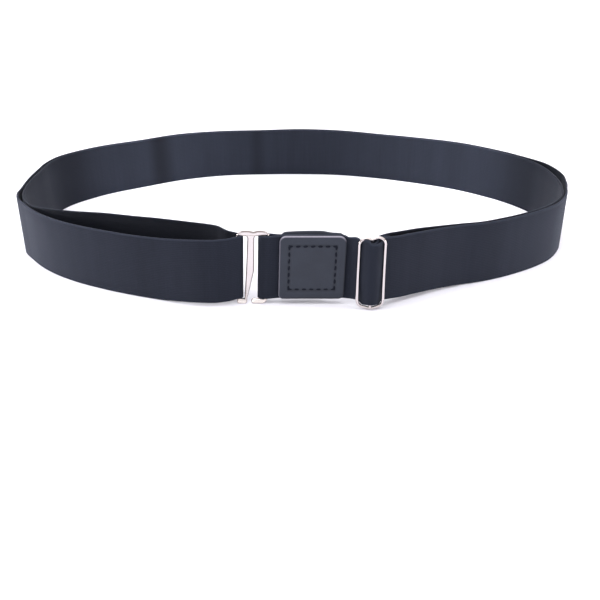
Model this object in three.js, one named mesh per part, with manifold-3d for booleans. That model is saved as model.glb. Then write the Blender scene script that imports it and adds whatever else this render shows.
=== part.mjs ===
// Adjustable shirt stay: one elastic strap in a doubled loop, a metal hook clasp,
// a metal slider and two leather patches. Millimetres, +Z up, the clasp faces -Y.
// The loop stands on its lower edge, and its origin is the middle of its footprint.

import * as THREE from 'three';
import * as BufferGeometryUtils from 'three/addons/utils/BufferGeometryUtils.js';
import Module from 'manifold-3d';

// Clearances
const GAP = 0.3;              // between touching pieces and between strap layers
const EDGE_PLAY = 0.4;        // between a strap edge and the metal above or below it

// Strap
const STRAP_WIDTH = 30;
const STRAP_THICKNESS = 1.2;
const LOOP_WIDTH = 289.2;     // across the loop, outside to outside
const LOOP_DEPTH = 195.7;     // from the clasp's plane to the back of the loop
const LAYER_SLACK = 20;       // most that the inner layer stands off from the outer one
const STRAP_TAIL = 4;         // sewn end past the slider's side bar
const STRAP_END = 17.5;       // sewn end between the patches
const SLIDER_PINCH = 0.9;     // each strap edge draws in by this much in the slider

// Hook clasp
const CLASP_OFFSET = -20.5;   // middle of the plate, from the middle of the loop
const HOOK_THICKNESS = 1.4;
const HOOK_PLATE = 2.8;
const HOOK_LEFT_BAR = 1.5;
const HOOK_LEFT_SLOT = 3.2;
const HOOK_RIGHT_BAR = 2.3;
const HOOK_RIGHT_SLOT = 4.5;
const HOOK_NECK = 0.45;       // where the plate starts to narrow, as a share of its height
const HOOK_ANKLE = 1.1;       // width of the plate where it meets the foot
const HOOK_LEAN = 2.1;        // the ankle's place, left of the plate's middle
const HOOK_MOUTH = 2.4;       // way in, between the ankle and the hook's tip
const HOOK_FOOT = 1.9;
const HOOK_TOP = 1.2;
const HOOK_DIP = 0.35;        // hollow in the top edge above the plate
const HOOK_CORNER = 1.3;
const HOOK_SLACK = 1.2;       // free room between the right bar and the strap's fold
const METAL_EDGE = 0.35;      // rounding of the metal's long edges

// Slider
const SLIDER_OFFSET = 32.2;   // middle of the slider, from the middle of the loop
const SLIDER_FORWARD = 6.0;   // in front of the clasp's plane
const SLIDER_WIRE = 1.25;
const SLIDER_CENTRE_BAR = 1.4;
const SLIDER_PLAY = 1.0;      // free room in each slot beside two layers of strap
const SLIDER_CORNER = 2.9;
const SLIDER_SAG = 0.5;       // bow of the lower bar
const SLIDER_NOTCH = 1.1;     // depth of the V in the upper bar
const SLIDER_NOTCH_HALF = 3.2;

// Patches
const PATCH_OFFSET = 6.6;     // middle of the patches, from the middle of the loop
const PATCH_WIDTH = 29;
const PATCH_HEIGHT = 29.8;
const PATCH_RAISE = 0.4;      // the patches' middle, above the strap's middle
const PATCH_THICKNESS = 1.2;
const PATCH_CORNER = 2.5;
const PATCH_STEP = 4;         // length over which the back patch steps down past the strap's end

// Values that follow from the sizes above
const PITCH = STRAP_THICKNESS + GAP;
const STRAP_LIFT = HOOK_FOOT + EDGE_PLAY;
const CLEAR_HEIGHT = STRAP_WIDTH + 2 * EDGE_PLAY;
const SLIDER_SLOT = 2 * STRAP_THICKNESS + 3 * GAP + SLIDER_PLAY;
const SLIDER_HALF = SLIDER_CENTRE_BAR / 2 + SLIDER_SLOT + SLIDER_WIRE;
const SIDE_BAR = SLIDER_HALF - SLIDER_WIRE / 2;
const SLIDER_Y = -SLIDER_FORWARD;
const CLASP_LEFT = CLASP_OFFSET - HOOK_PLATE / 2 - HOOK_LEFT_SLOT - HOOK_LEFT_BAR;
const SLIDER_TOP = STRAP_LIFT + STRAP_WIDTH - SLIDER_PINCH + GAP + SLIDER_NOTCH + SLIDER_WIRE;
const PATCH_LEFT = PATCH_OFFSET - PATCH_WIDTH / 2;
const PATCH_RIGHT = PATCH_OFFSET + PATCH_WIDTH / 2;

// The loop's outer face seen from above, from the clasp round the left end, the back and the
// right end to the slider. x is a share of LOOP_WIDTH from its middle, y a share of LOOP_DEPTH
// from the clasp's plane. lift is a share of STRAP_LIFT, lean the outward shift of the upper
// edge as a share of STRAP_WIDTH, and apart how far the inner layer is moved towards the loop's
// middle, of LAYER_SLACK.
const LOOP = [
  { x: -0.105, y: -0.019, lift: 0.75, lean: 0.00, apart: 0.36 },
  { x: -0.124, y: -0.026, lift: 0.75, lean: 0.00, apart: 0.58 },
  { x: -0.148, y: -0.024, lift: 0.70, lean: 0.00, apart: 0.84 },
  { x: -0.179, y: -0.010, lift: 0.35, lean: 0.00, apart: 0.99 },
  { x: -0.212, y: 0.006, lift: 0.10, lean: 0.00, apart: 1.04 },
  { x: -0.258, y: 0.031, lift: 0.00, lean: 0.01, apart: 1.03 },
  { x: -0.312, y: 0.065, lift: 0.00, lean: 0.01, apart: 0.95 },
  { x: -0.366, y: 0.108, lift: 0.00, lean: 0.02, apart: 0.80 },
  { x: -0.414, y: 0.160, lift: 0.00, lean: 0.02, apart: 0.34 },
  { x: -0.452, y: 0.219, lift: 0.00, lean: 0.01, apart: 0.03 },
  { x: -0.480, y: 0.282, lift: 0.00, lean: 0.00, apart: 0.01 },
  { x: -0.494, y: 0.351, lift: 0.00, lean: 0.00, apart: 0.01 },
  { x: -0.500, y: 0.443, lift: 0.00, lean: 0.01, apart: 0.02 },
  { x: -0.500, y: 0.525, lift: 0.00, lean: 0.02, apart: 0.03 },
  { x: -0.496, y: 0.606, lift: 0.00, lean: 0.04, apart: 0.02 },
  { x: -0.477, y: 0.676, lift: 0.00, lean: 0.08, apart: 0.01 },
  { x: -0.418, y: 0.779, lift: 0.00, lean: 0.07, apart: 0.01 },
  { x: -0.346, y: 0.858, lift: 0.00, lean: 0.02, apart: 0.02 },
  { x: -0.266, y: 0.933, lift: 0.00, lean: 0.05, apart: 0.01 },
  { x: -0.178, y: 0.980, lift: 0.00, lean: 0.00, apart: 0.01 },
  { x: -0.087, y: 0.996, lift: 0.00, lean: -0.02, apart: 0.02 },
  { x: 0.005, y: 1.000, lift: 0.00, lean: 0.05, apart: 0.02 },
  { x: 0.096, y: 0.988, lift: 0.00, lean: 0.01, apart: 0.01 },
  { x: 0.185, y: 0.950, lift: 0.00, lean: -0.06, apart: 0.01 },
  { x: 0.270, y: 0.897, lift: 0.00, lean: -0.04, apart: 0.02 },
  { x: 0.350, y: 0.831, lift: 0.00, lean: 0.00, apart: 0.02 },
  { x: 0.422, y: 0.737, lift: 0.00, lean: 0.00, apart: 0.03 },
  { x: 0.459, y: 0.670, lift: 0.00, lean: 0.00, apart: 0.05 },
  { x: 0.484, y: 0.609, lift: 0.00, lean: 0.00, apart: 0.09 },
  { x: 0.495, y: 0.550, lift: 0.00, lean: 0.00, apart: 0.12 },
  { x: 0.498, y: 0.494, lift: 0.00, lean: 0.00, apart: 0.12 },
  { x: 0.496, y: 0.433, lift: 0.00, lean: 0.00, apart: 0.10 },
  { x: 0.488, y: 0.368, lift: 0.00, lean: 0.00, apart: 0.06 },
  { x: 0.474, y: 0.308, lift: 0.00, lean: 0.00, apart: 0.03 },
  { x: 0.449, y: 0.253, lift: 0.00, lean: 0.00, apart: 0.02 },
  { x: 0.414, y: 0.203, lift: 0.00, lean: 0.00, apart: 0.01 },
  { x: 0.374, y: 0.161, lift: 0.00, lean: 0.00, apart: 0.01 },
  { x: 0.335, y: 0.128, lift: 0.00, lean: 0.00, apart: 0.02 },
  { x: 0.298, y: 0.104, lift: 0.05, lean: 0.01, apart: 0.01 },
  { x: 0.264, y: 0.085, lift: 0.20, lean: 0.00, apart: 0.02 },
  { x: 0.226, y: 0.057, lift: 0.50, lean: 0.00, apart: 0.06 },
  { x: 0.191, y: 0.026, lift: 0.80, lean: 0.00, apart: 0.12 },
  { x: 0.162, y: 0.000, lift: 1.00, lean: 0.00, apart: 0.13 },
];
const FRONT_ROWS_END = 0.5;   // rows nearer than this share of the depth follow the metal
const CLASP_ROW = 0.184;      // the clasp's outer edge, as a share of half the width
const SLIDER_ROW = 0.266;     // the slider's outer edge, as a share of half the width
const STEPS_PER_ROW = 3;
const ARC_STEP = Math.PI / 8;
const CORNER_STEPS = 6;
const SLIDER_BOW_STEPS = 4;
const MITRE_LIMIT = 0.5;

const wasm = await Module();
wasm.setup();

function material(name, color, roughness, metalness) {
  return new THREE.MeshStandardMaterial({ name, color, roughness, metalness });
}

const ELASTIC = material('elastic', 0x33363f, 0.85, 0);
const LEATHER = material('leather', 0x454952, 0.55, 0);
const NICKEL = material('nickel', 0xe9e2de, 0.16, 1);

// Direction of the straight run that leaves one round and meets the next. A round has a centre,
// a radius and a turn: 1 where the path goes round it counter-clockwise, -1 clockwise.
function runAngle(from, to) {
  const across = Math.atan2(to.y - from.y, to.x - from.x);
  const length = Math.hypot(to.x - from.x, to.y - from.y);
  return across - Math.asin((to.turn * to.radius - from.turn * from.radius) / length);
}

// Point where a straight run at this angle touches a round.
function touchPoint(round, angle) {
  const reach = round.turn * round.radius;
  return { x: round.x + reach * Math.sin(angle), y: round.y - reach * Math.cos(angle) };
}

// The path of a strap drawn over rounds, as a belt over pulleys. A plain bend has radius 0, and
// a round that lies just clear of the straight run is passed without going round it.
function wrapRounds(rounds) {
  const path = [];
  for (let i = 0; i < rounds.length; i += 1) {
    const here = rounds[i];
    const arrive = i > 0 ? runAngle(rounds[i - 1], here) : null;
    const leave = i < rounds.length - 1 ? runAngle(here, rounds[i + 1]) : null;
    if (arrive === null || leave === null || here.radius === 0) {
      path.push({ ...touchPoint(here, arrive ?? leave), low: here.low, high: here.high });
      continue;
    }
    let sweep = leave - arrive;
    while (here.turn * sweep < -Math.PI / 2) {
      sweep += here.turn * 2 * Math.PI;
    }
    while (here.turn * sweep > Math.PI * 1.5) {
      sweep -= here.turn * 2 * Math.PI;
    }
    if (here.turn * sweep <= 0) {
      path.push({ ...touchPoint(here, arrive + sweep / 2), low: here.low, high: here.high });
      continue;
    }
    const steps = Math.max(2, Math.ceil(Math.abs(sweep) / ARC_STEP));
    for (let k = 0; k <= steps; k += 1) {
      const point = touchPoint(here, arrive + (sweep * k) / steps);
      path.push({ ...point, low: here.low, high: here.high });
    }
  }
  return path;
}

function round(x, y, radius, turn, low, high) {
  return { x, y, radius, turn, low, high };
}

function bend(x, y, low, high) {
  return round(x, y, 0, 1, low, high);
}

// A row's place across the loop. At the front it lies between the metal beside it and the end
// of the loop, so the strap meets the metal at any width of the loop.
function acrossLoop(row) {
  const half = LOOP_WIDTH / 2;
  if (row.y > FRONT_ROWS_END) {
    return row.x * LOOP_WIDTH;
  }
  const side = Math.sign(row.x);
  const metal = side > 0 ? SLIDER_OFFSET + SLIDER_HALF : -CLASP_LEFT;
  const metalRow = side > 0 ? SLIDER_ROW : CLASP_ROW;
  const share = (2 * Math.abs(row.x) - metalRow) / (1 - metalRow);
  return side * (metal + share * (half - metal));
}

// Middle line of one layer round the loop, at a depth behind the outer face. The slack moves it
// further towards the loop's middle.
function loopLayer(depth, slack) {
  const face = new THREE.CatmullRomCurve3(
    LOOP.map((row) => new THREE.Vector3(acrossLoop(row), row.y * LOOP_DEPTH, 0)));
  const edges = new THREE.CatmullRomCurve3(
    LOOP.map((row) => new THREE.Vector3(row.lift, row.lean, row.apart)), false, 'catmullrom', 0.5);
  const count = (LOOP.length - 1) * STEPS_PER_ROW;
  const path = [];
  for (let i = 0; i <= count; i += 1) {
    const share = i / count;
    const point = face.getPoint(share);
    const along = face.getTangent(share);
    const edge = edges.getPoint(share);
    const shift = Math.max(0, edge.z) * slack;
    const inward = new THREE.Vector2(-point.x, LOOP_DEPTH / 2 - point.y).normalize();
    const low = Math.max(0, edge.x) * STRAP_LIFT;
    path.push({
      x: point.x + along.y * depth + inward.x * shift,
      y: point.y - along.x * depth + inward.y * shift,
      low,
      high: low + STRAP_WIDTH,
      leanX: -along.y * edge.y * STRAP_WIDTH,
      leanY: along.x * edge.y * STRAP_WIDTH,
    });
  }
  return path;
}

// The strap's whole middle line, from its sewn end at the slider to its sewn end at the patches.
function strapPath() {
  const low = STRAP_LIFT;
  const high = low + STRAP_WIDTH;
  const pinchLow = low + SLIDER_PINCH;
  const pinchHigh = high - SLIDER_PINCH;
  const half = STRAP_THICKNESS / 2;
  const leftBar = SLIDER_OFFSET - SIDE_BAR;
  const rightBar = SLIDER_OFFSET + SIDE_BAR;
  const sideRadius = SLIDER_WIRE / 2 + GAP + half;
  const centreRadius = SLIDER_CENTRE_BAR / 2 + GAP + half;
  const hookRadius = HOOK_THICKNESS / 2 + GAP + half;
  const inner = loopLayer(PITCH + half, LAYER_SLACK).reverse();
  const outer = loopLayer(half, 0);
  const outerLast = outer[outer.length - 1];

  const beside = round(rightBar, SLIDER_Y, sideRadius, 1, pinchLow, pinchHigh);
  const tailAngle = runAngle(bend(outerLast.x, outerLast.y), beside);
  const tail = touchPoint(round(rightBar, SLIDER_Y, sideRadius + PITCH, 1), tailAngle);
  tail.x -= STRAP_TAIL * Math.cos(tailAngle);
  tail.y -= STRAP_TAIL * Math.sin(tailAngle);
  const sewnLoop = wrapRounds([
    bend(tail.x, tail.y, pinchLow, pinchHigh),
    round(rightBar, SLIDER_Y, sideRadius + PITCH, 1, pinchLow, pinchHigh),
    round(SLIDER_OFFSET, SLIDER_Y, centreRadius, -1, pinchLow, pinchHigh),
    round(rightBar, SLIDER_Y, sideRadius + 2 * PITCH, -1, pinchLow, pinchHigh),
    bend(inner[0].x, inner[0].y, low, high),
  ]).slice(0, -1);

  const clasp = HOOK_PLATE / 2;
  const leftNose = CLASP_OFFSET - clasp - HOOK_LEFT_SLOT - HOOK_THICKNESS / 2;
  const innerEnd = inner[inner.length - 1];
  const claspFold = wrapRounds([
    bend(innerEnd.x, innerEnd.y, low, high),
    round(leftNose, 0, hookRadius, -1, low, high),
    bend(outer[0].x, outer[0].y, low, high),
  ]).slice(1, -1);

  const rightNose = CLASP_OFFSET + clasp + HOOK_RIGHT_SLOT - HOOK_SLACK + HOOK_THICKNESS / 2;
  const hookRight = CLASP_OFFSET + clasp + HOOK_RIGHT_SLOT + HOOK_RIGHT_BAR + GAP;
  const front = wrapRounds([
    bend(outerLast.x, outerLast.y, low, high),
    beside,
    round(SLIDER_OFFSET, SLIDER_Y, centreRadius + PITCH, -1, pinchLow, pinchHigh),
    round(leftBar, SLIDER_Y, sideRadius, 1, pinchLow, pinchHigh),
    bend(PATCH_RIGHT + 2 * GAP, -PITCH / 2, low, high),
    bend(PATCH_LEFT - 2 * GAP, -PITCH / 2, low, high),
    bend(hookRight, -hookRadius, low, high),
    round(rightNose, 0, hookRadius, -1, low, high),
    bend(hookRight, hookRadius, low, high),
    bend(PATCH_LEFT - 2 * GAP, PITCH / 2, low, high),
    bend(PATCH_LEFT + STRAP_END, PITCH / 2, low, high),
  ]).slice(1);
  return [...sewnLoop, ...inner, ...claspFold, ...outer, ...front];
}

// A closed band of even thickness that stands on edge along a path.
function bandGeometry(path, thickness) {
  const positions = [];
  const indices = [];
  path.forEach((station, i) => {
    const before = path[Math.max(0, i - 1)];
    const after = path[Math.min(path.length - 1, i + 1)];
    const arrive = new THREE.Vector2(station.x - before.x, station.y - before.y).normalize();
    const leave = new THREE.Vector2(after.x - station.x, after.y - station.y).normalize();
    const along = arrive.clone().add(leave).normalize();
    const corner = Math.max(MITRE_LIMIT, i > 0 && i < path.length - 1 ? along.dot(arrive) : 1);
    const side = thickness / 2 / corner;
    for (const [sign, top] of [[1, false], [-1, false], [-1, true], [1, true]]) {
      const leanX = top ? station.leanX ?? 0 : 0;
      const leanY = top ? station.leanY ?? 0 : 0;
      positions.push(
        station.x - along.y * side * sign + leanX,
        station.y + along.x * side * sign + leanY,
        top ? station.high : station.low);
    }
  });
  for (let i = 0; i < path.length - 1; i += 1) {
    for (let k = 0; k < 4; k += 1) {
      const a = 4 * i + k;
      const b = 4 * i + ((k + 1) % 4);
      indices.push(a, b + 4, b, a, a + 4, b + 4);
    }
  }
  const last = 4 * (path.length - 1);
  indices.push(0, 1, 2, 0, 2, 3, last, last + 2, last + 1, last, last + 3, last + 2);
  const geometry = new THREE.BufferGeometry();
  geometry.setAttribute('position', new THREE.Float32BufferAttribute(positions, 3));
  geometry.setIndex(indices);
  return geometry;
}

// A flat outline, drawn as x and height, becomes a plate that stands across Y.
function standingPlate(shape, thickness, edge) {
  const geometry = new THREE.ExtrudeGeometry(shape, {
    depth: thickness - 2 * edge,
    bevelEnabled: edge > 0,
    bevelThickness: edge,
    bevelSize: edge,
    bevelOffset: -edge,
    bevelSegments: 1,
    curveSegments: CORNER_STEPS,
  });
  geometry.rotateX(Math.PI / 2);
  geometry.translate(0, (thickness - 2 * edge) / 2, 0);
  return geometry;
}

// The clasp: a closed slot on the left, a plate, and a hook open at its foot on the right.
function hookGeometry() {
  const plate = HOOK_PLATE / 2;
  const slotTop = HOOK_FOOT + CLEAR_HEIGHT;
  const top = slotTop + HOOK_TOP;
  const leftIn = -plate - HOOK_LEFT_SLOT;
  const leftOut = leftIn - HOOK_LEFT_BAR;
  const rightIn = plate + HOOK_RIGHT_SLOT;
  const rightOut = rightIn + HOOK_RIGHT_BAR;
  const neck = HOOK_FOOT + CLEAR_HEIGHT * HOOK_NECK;
  const ankleLeft = -HOOK_LEAN - HOOK_ANKLE / 2;
  const ankleRight = -HOOK_LEAN + HOOK_ANKLE / 2;
  const tip = ankleRight + HOOK_MOUTH;
  const r = HOOK_CORNER;
  const nose = HOOK_FOOT / 2;

  const outline = new THREE.Shape();
  outline.moveTo(leftOut + r, 0);
  outline.lineTo(ankleRight, 0);
  outline.lineTo(ankleRight, HOOK_FOOT);
  outline.lineTo(plate, neck);
  outline.lineTo(plate, slotTop);
  outline.lineTo(rightIn, slotTop);
  outline.lineTo(rightIn, HOOK_FOOT);
  outline.lineTo(tip + nose, HOOK_FOOT);
  outline.absarc(tip + nose, nose, nose, Math.PI / 2, Math.PI * 1.5, false);
  outline.lineTo(rightOut - r, 0);
  outline.absarc(rightOut - r, r, r, -Math.PI / 2, 0, false);
  outline.lineTo(rightOut, top - r);
  outline.absarc(rightOut - r, top - r, r, 0, Math.PI / 2, false);
  outline.bezierCurveTo(plate * 2, top, plate, top - HOOK_DIP, 0, top - HOOK_DIP);
  outline.bezierCurveTo(-plate, top - HOOK_DIP, -plate * 2, top, leftOut + r, top);
  outline.absarc(leftOut + r, top - r, r, Math.PI / 2, Math.PI, false);
  outline.lineTo(leftOut, r);
  outline.absarc(leftOut + r, r, r, Math.PI, Math.PI * 1.5, false);

  const slot = new THREE.Path();
  slot.moveTo(leftIn, HOOK_FOOT);
  slot.lineTo(leftIn, slotTop);
  slot.lineTo(-plate, slotTop);
  slot.lineTo(-plate, neck);
  slot.lineTo(ankleLeft, HOOK_FOOT);
  outline.holes.push(slot);
  return standingPlate(outline, HOOK_THICKNESS, METAL_EDGE);
}

// Height of the slider's lower bar at a distance from the middle, above its height there.
function sliderBow(x) {
  return SLIDER_SAG * (x / (SLIDER_HALF - SLIDER_CORNER)) ** 2;
}

// Right-hand half of the slider's outline at an inset from its outer edge, from a point on the
// lower bar up to the same distance from the middle in the V.
function sliderHalf(inset, fromMiddle) {
  const side = SLIDER_HALF - inset;
  const radius = SLIDER_CORNER - inset;
  const straight = side - radius;
  const top = SLIDER_TOP - inset;
  const points = [];
  for (let k = 0; k < SLIDER_BOW_STEPS; k += 1) {
    const x = fromMiddle + ((straight - fromMiddle) * k) / SLIDER_BOW_STEPS;
    points.push(new THREE.Vector2(x, inset + sliderBow(x)));
  }
  const corners = new THREE.Path();
  corners.absarc(straight, inset + SLIDER_SAG + radius, radius, -Math.PI / 2, 0, false);
  corners.absarc(straight, top - radius, radius, 0, Math.PI / 2, false);
  points.push(...corners.getPoints(CORNER_STEPS));
  points.push(new THREE.Vector2(SLIDER_NOTCH_HALF, top));
  const inNotch = 1 - fromMiddle / SLIDER_NOTCH_HALF;
  points.push(new THREE.Vector2(fromMiddle, top - SLIDER_NOTCH * inNotch));
  return points;
}

function mirrored(points) {
  return points.map((point) => new THREE.Vector2(-point.x, point.y)).reverse();
}

// The slider: a wire frame with a V in its upper bar, where the centre bar is joined.
function sliderGeometry() {
  const outer = sliderHalf(0, 0);
  const outline = new THREE.Shape([...outer, ...mirrored(outer).slice(1, -1)]);
  const slot = sliderHalf(SLIDER_WIRE, SLIDER_CENTRE_BAR / 2);
  outline.holes.push(new THREE.Path(slot), new THREE.Path(mirrored(slot)));
  return standingPlate(outline, SLIDER_WIRE, METAL_EDGE);
}

function patchOutline() {
  const half = PATCH_WIDTH / 2;
  const low = STRAP_LIFT + (STRAP_WIDTH - PATCH_HEIGHT) / 2 + PATCH_RAISE;
  const top = low + PATCH_HEIGHT;
  const r = PATCH_CORNER;
  const outline = new THREE.Shape();
  outline.moveTo(-half + r, low);
  outline.absarc(half - r, low + r, r, -Math.PI / 2, 0, false);
  outline.absarc(half - r, top - r, r, 0, Math.PI / 2, false);
  outline.absarc(-half + r, top - r, r, Math.PI / 2, Math.PI, false);
  outline.absarc(-half + r, low + r, r, Math.PI, Math.PI * 1.5, false);
  return outline;
}

function solidOf(geometry) {
  const bare = geometry.clone();
  bare.deleteAttribute('normal');
  bare.deleteAttribute('uv');
  const merged = BufferGeometryUtils.mergeVertices(bare, 1e-4);
  return new wasm.Manifold(new wasm.Mesh({
    numProp: 3,
    vertProperties: new Float32Array(merged.attributes.position.array),
    triVerts: new Uint32Array(merged.index.array),
  }));
}

function geometryOf(solid) {
  const mesh = solid.getMesh();
  const geometry = new THREE.BufferGeometry();
  geometry.setAttribute('position', new THREE.BufferAttribute(mesh.vertProperties, mesh.numProp));
  geometry.setIndex(new THREE.BufferAttribute(mesh.triVerts, 1));
  return geometry;
}

// The back patch lies on the folded strap end and steps down to the single layer beside it.
function backPatchGeometry() {
  const onFold = PITCH / 2 + STRAP_THICKNESS / 2 + GAP + PATCH_THICKNESS / 2;
  const onStrap = onFold - PITCH;
  const stepStart = PATCH_LEFT + STRAP_END + 2 * GAP + PATCH_THICKNESS / 2 - PATCH_OFFSET;
  const reach = PATCH_WIDTH / 2 + GAP;
  const low = 0;
  const high = STRAP_LIFT + STRAP_WIDTH + PATCH_HEIGHT;
  const band = bandGeometry([
    { x: reach, y: onStrap, low, high },
    { x: stepStart + PATCH_STEP, y: onStrap, low, high },
    { x: stepStart, y: onFold, low, high },
    { x: -reach, y: onFold, low, high },
  ], PATCH_THICKNESS);
  const depth = 6 * PATCH_THICKNESS;
  const cutter = standingPlate(patchOutline(), depth, 0);
  return geometryOf(solidOf(band).intersect(solidOf(cutter)));
}

function piece(name, geometry, finish, x = 0, y = 0) {
  const mesh = new THREE.Mesh(geometry, finish);
  mesh.name = name;
  mesh.position.set(x, y, 0);
  return mesh;
}

const frontPatchY = -(PITCH / 2 + STRAP_THICKNESS / 2 + GAP + PATCH_THICKNESS / 2);
const stay = new THREE.Group();
stay.add(
  piece('elastic_strap', bandGeometry(strapPath(), STRAP_THICKNESS), ELASTIC),
  piece('hook_clasp', hookGeometry(), NICKEL, CLASP_OFFSET),
  piece('slider', sliderGeometry(), NICKEL, SLIDER_OFFSET, SLIDER_Y),
  piece('patch_front', standingPlate(patchOutline(), PATCH_THICKNESS, 0), LEATHER,
    PATCH_OFFSET, frontPatchY),
  piece('patch_back', backPatchGeometry(), LEATHER, PATCH_OFFSET),
);

// The origin is the middle of the footprint, on the surface that the loop stands on.
const bounds = new THREE.Box3().setFromObject(stay);
const centre = bounds.getCenter(new THREE.Vector3());
stay.position.set(-centre.x, -centre.y, -bounds.min.z);

export default stay;
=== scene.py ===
# Shirt stay: a doubled elastic strap with a hook clasp, a wire slider and sewn leather patches.
# Metres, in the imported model's frame: +X across the loop, the clasp faces -Y, +Z up.

import math

import bmesh
import bpy
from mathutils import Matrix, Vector


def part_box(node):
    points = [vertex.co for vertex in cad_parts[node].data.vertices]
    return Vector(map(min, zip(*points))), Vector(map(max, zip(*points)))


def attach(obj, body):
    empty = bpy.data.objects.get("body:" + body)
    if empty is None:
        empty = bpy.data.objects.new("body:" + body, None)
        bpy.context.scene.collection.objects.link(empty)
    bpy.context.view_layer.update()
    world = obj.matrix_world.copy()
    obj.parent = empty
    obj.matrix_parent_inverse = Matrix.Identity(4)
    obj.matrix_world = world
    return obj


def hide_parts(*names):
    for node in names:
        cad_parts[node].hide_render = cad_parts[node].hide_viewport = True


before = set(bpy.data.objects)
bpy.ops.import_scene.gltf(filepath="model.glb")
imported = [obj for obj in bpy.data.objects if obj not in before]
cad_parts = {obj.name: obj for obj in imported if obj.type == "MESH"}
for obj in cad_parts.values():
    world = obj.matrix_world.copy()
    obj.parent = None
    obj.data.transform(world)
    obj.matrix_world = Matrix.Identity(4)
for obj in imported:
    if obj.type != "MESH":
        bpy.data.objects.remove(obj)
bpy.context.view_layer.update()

bl_info = {
    "name": "Shirt Stay",
    "version": (1, 0, 0),
    "blender": (4, 5, 0),
    "location": "View3D > Sidebar > Shirt Stay",
    "description": "Builds an elastic shirt stay with its clasp, slider and patches",
    "category": "Add Mesh",
}

BODY = "root"
MM = 0.001

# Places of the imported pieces
HOOK_LOW, HOOK_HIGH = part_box("hook_clasp")
SLIDER_LOW, SLIDER_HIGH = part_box("slider")
FRONT_LOW, FRONT_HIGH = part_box("patch_front")
BACK_LOW, BACK_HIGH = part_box("patch_back")
HOOK_X = (HOOK_LOW.x + HOOK_HIGH.x) / 2
HOOK_Y = (HOOK_LOW.y + HOOK_HIGH.y) / 2
SLIDER_X = (SLIDER_LOW.x + SLIDER_HIGH.x) / 2
SLIDER_Y = (SLIDER_LOW.y + SLIDER_HIGH.y) / 2
PATCH_X = (FRONT_LOW.x + FRONT_HIGH.x) / 2
PATCH_Z = (FRONT_LOW.z + FRONT_HIGH.z) / 2

# Camera
CAMERA_FROM_CLASP = (20.75 * MM, -301.3 * MM)
CAMERA_HEIGHT = 151.8 * MM
CAMERA_DOWN = math.radians(26.61)
CAMERA_LENS = 44.94
CAMERA_SENSOR = 36.0

# Stage: the floor's level, and the heights between which the sky turns bright
FLOOR_LEVEL = -0.02 * MM
SKY_RISE = (0.18, 0.62)
LAMP_COLOUR = (1.0, 0.985, 0.965)
WIDE_BEAM = math.radians(110)
NARROW_BEAM = math.radians(28)
# Name, place, aim, width, beam and share of the key light's power
LAMPS = (
    ("soft_above", (-0.35, -0.15, 1.3), (0, 0, 0), 1.4, WIDE_BEAM, 1.0),
    ("soft_front", (0.5, -1.3, 0.7), (0, 0, 0), 1.0, WIDE_BEAM, 0.1),
    ("outside_left", (-0.50, -0.14, 0.08), (-0.137, -0.035, 0.015), 0.10, NARROW_BEAM, 0.015),
    ("outside_right", (0.50, -0.12, 0.08), (0.140, -0.025, 0.015), 0.10, NARROW_BEAM, 0.010),
    ("inside_left", (-0.03, -0.08, 0.26), (-0.085, 0.085, 0.01), 0.10, NARROW_BEAM, 0.008),
    ("inside_right", (0.05, -0.08, 0.26), (0.098, 0.080, 0.01), 0.10, NARROW_BEAM, 0.009),
)

# Strap
STRAP_STEP = 1.0 * MM
WELD = 0.001 * MM
RING_CORNERS = 4
# Rise from the strap's edge, and half thickness there as a share of the full one
SELVEDGE = [
    (0.0 * MM, 0.0),
    (0.1 * MM, 0.62),
    (0.4 * MM, 1.0),
    (0.9 * MM, 1.0),
    (1.2 * MM, 0.84),
    (1.5 * MM, 1.0),
]
STRAP_BODY_ROWS = 4

# Folds of the strap round the clasp's two bars
CLASP_FOLDS = (HOOK_LOW.x + 3 * MM, HOOK_HIGH.x - 3 * MM)
LEFT_FOLD = (CLASP_FOLDS[0], HOOK_Y)

# Painted shade on the strap, with its depths of tone. Shade at the fold marks across the back of
# the loop: middle, half width and softness along X, and depth
CREASE_SHADES = [
    (-88.6 * MM, 4.5 * MM, 4.5 * MM, 1.75),
    (-27.0 * MM, 3.4 * MM, 3.4 * MM, 1.0),
]
# Painted shade at the folds round the clasp's bars: depth, and the distances from them where it
# fades
FOLD_SHADE = 0.55
FOLD_FADE = (0.3 * MM, 2.2 * MM)
# Painted shade on the faces between the two layers
BETWEEN_LAYERS_SHADE = 1.9
# Painted shade on the inner face at the loop's ends: depth, and the distances from the middle where
# it sets in
END_SHADE = 1.5
END_FADE = (118 * MM, 136 * MM)

# The roll of strap over the slider's centre bar: how far its edges drop or stand up, and the
# distances from the slider's middle where each change begins, is full, fades and ends
ROLL_CORNER_DROP = 1.2 * MM
ROLL_CORNERS = (3.4 * MM, 5.2 * MM, 6.4 * MM, 8 * MM)
ROLL_STAND = 1.7 * MM
ROLL_BESIDE_V = (0.7 * MM, 2.2 * MM, 4.2 * MM, 6 * MM)
ROLL_FOOT_DROP = 0.45 * MM
ROLL_SIDE_DROP = 1.1 * MM
ROLL_SIDES = (1.5 * MM, 4.2 * MM, 6.4 * MM, 8 * MM)
# Drops of the upper edge between the patch and the slider, and its rise behind the slider
BESIDE_PATCH_DROP = 0.75 * MM
BESIDE_SLIDER_DROP = -0.6 * MM
BEHIND_SLIDER_RISE = 1.4 * MM

# Small shifts of the two layers where they turn at the loop's ends: layer, side of the loop,
# where the shift begins, is full, fades and ends in front of the loop's middle, and its size
END_SHIFTS = (
    ("outer", -1, (20 * MM, 31 * MM, 36 * MM, 48 * MM), -1.15 * MM),
    ("outer", 1, (10 * MM, 24 * MM, 34 * MM, 50 * MM), -1.05 * MM),
    ("outer", 1, (-40 * MM, -18 * MM, -2 * MM, 12 * MM), 1.3 * MM),
    ("inner", 1, (10 * MM, 24 * MM, 34 * MM, 50 * MM), -0.6 * MM),
)
END_SPAN = (105 * MM, 122 * MM)
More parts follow.
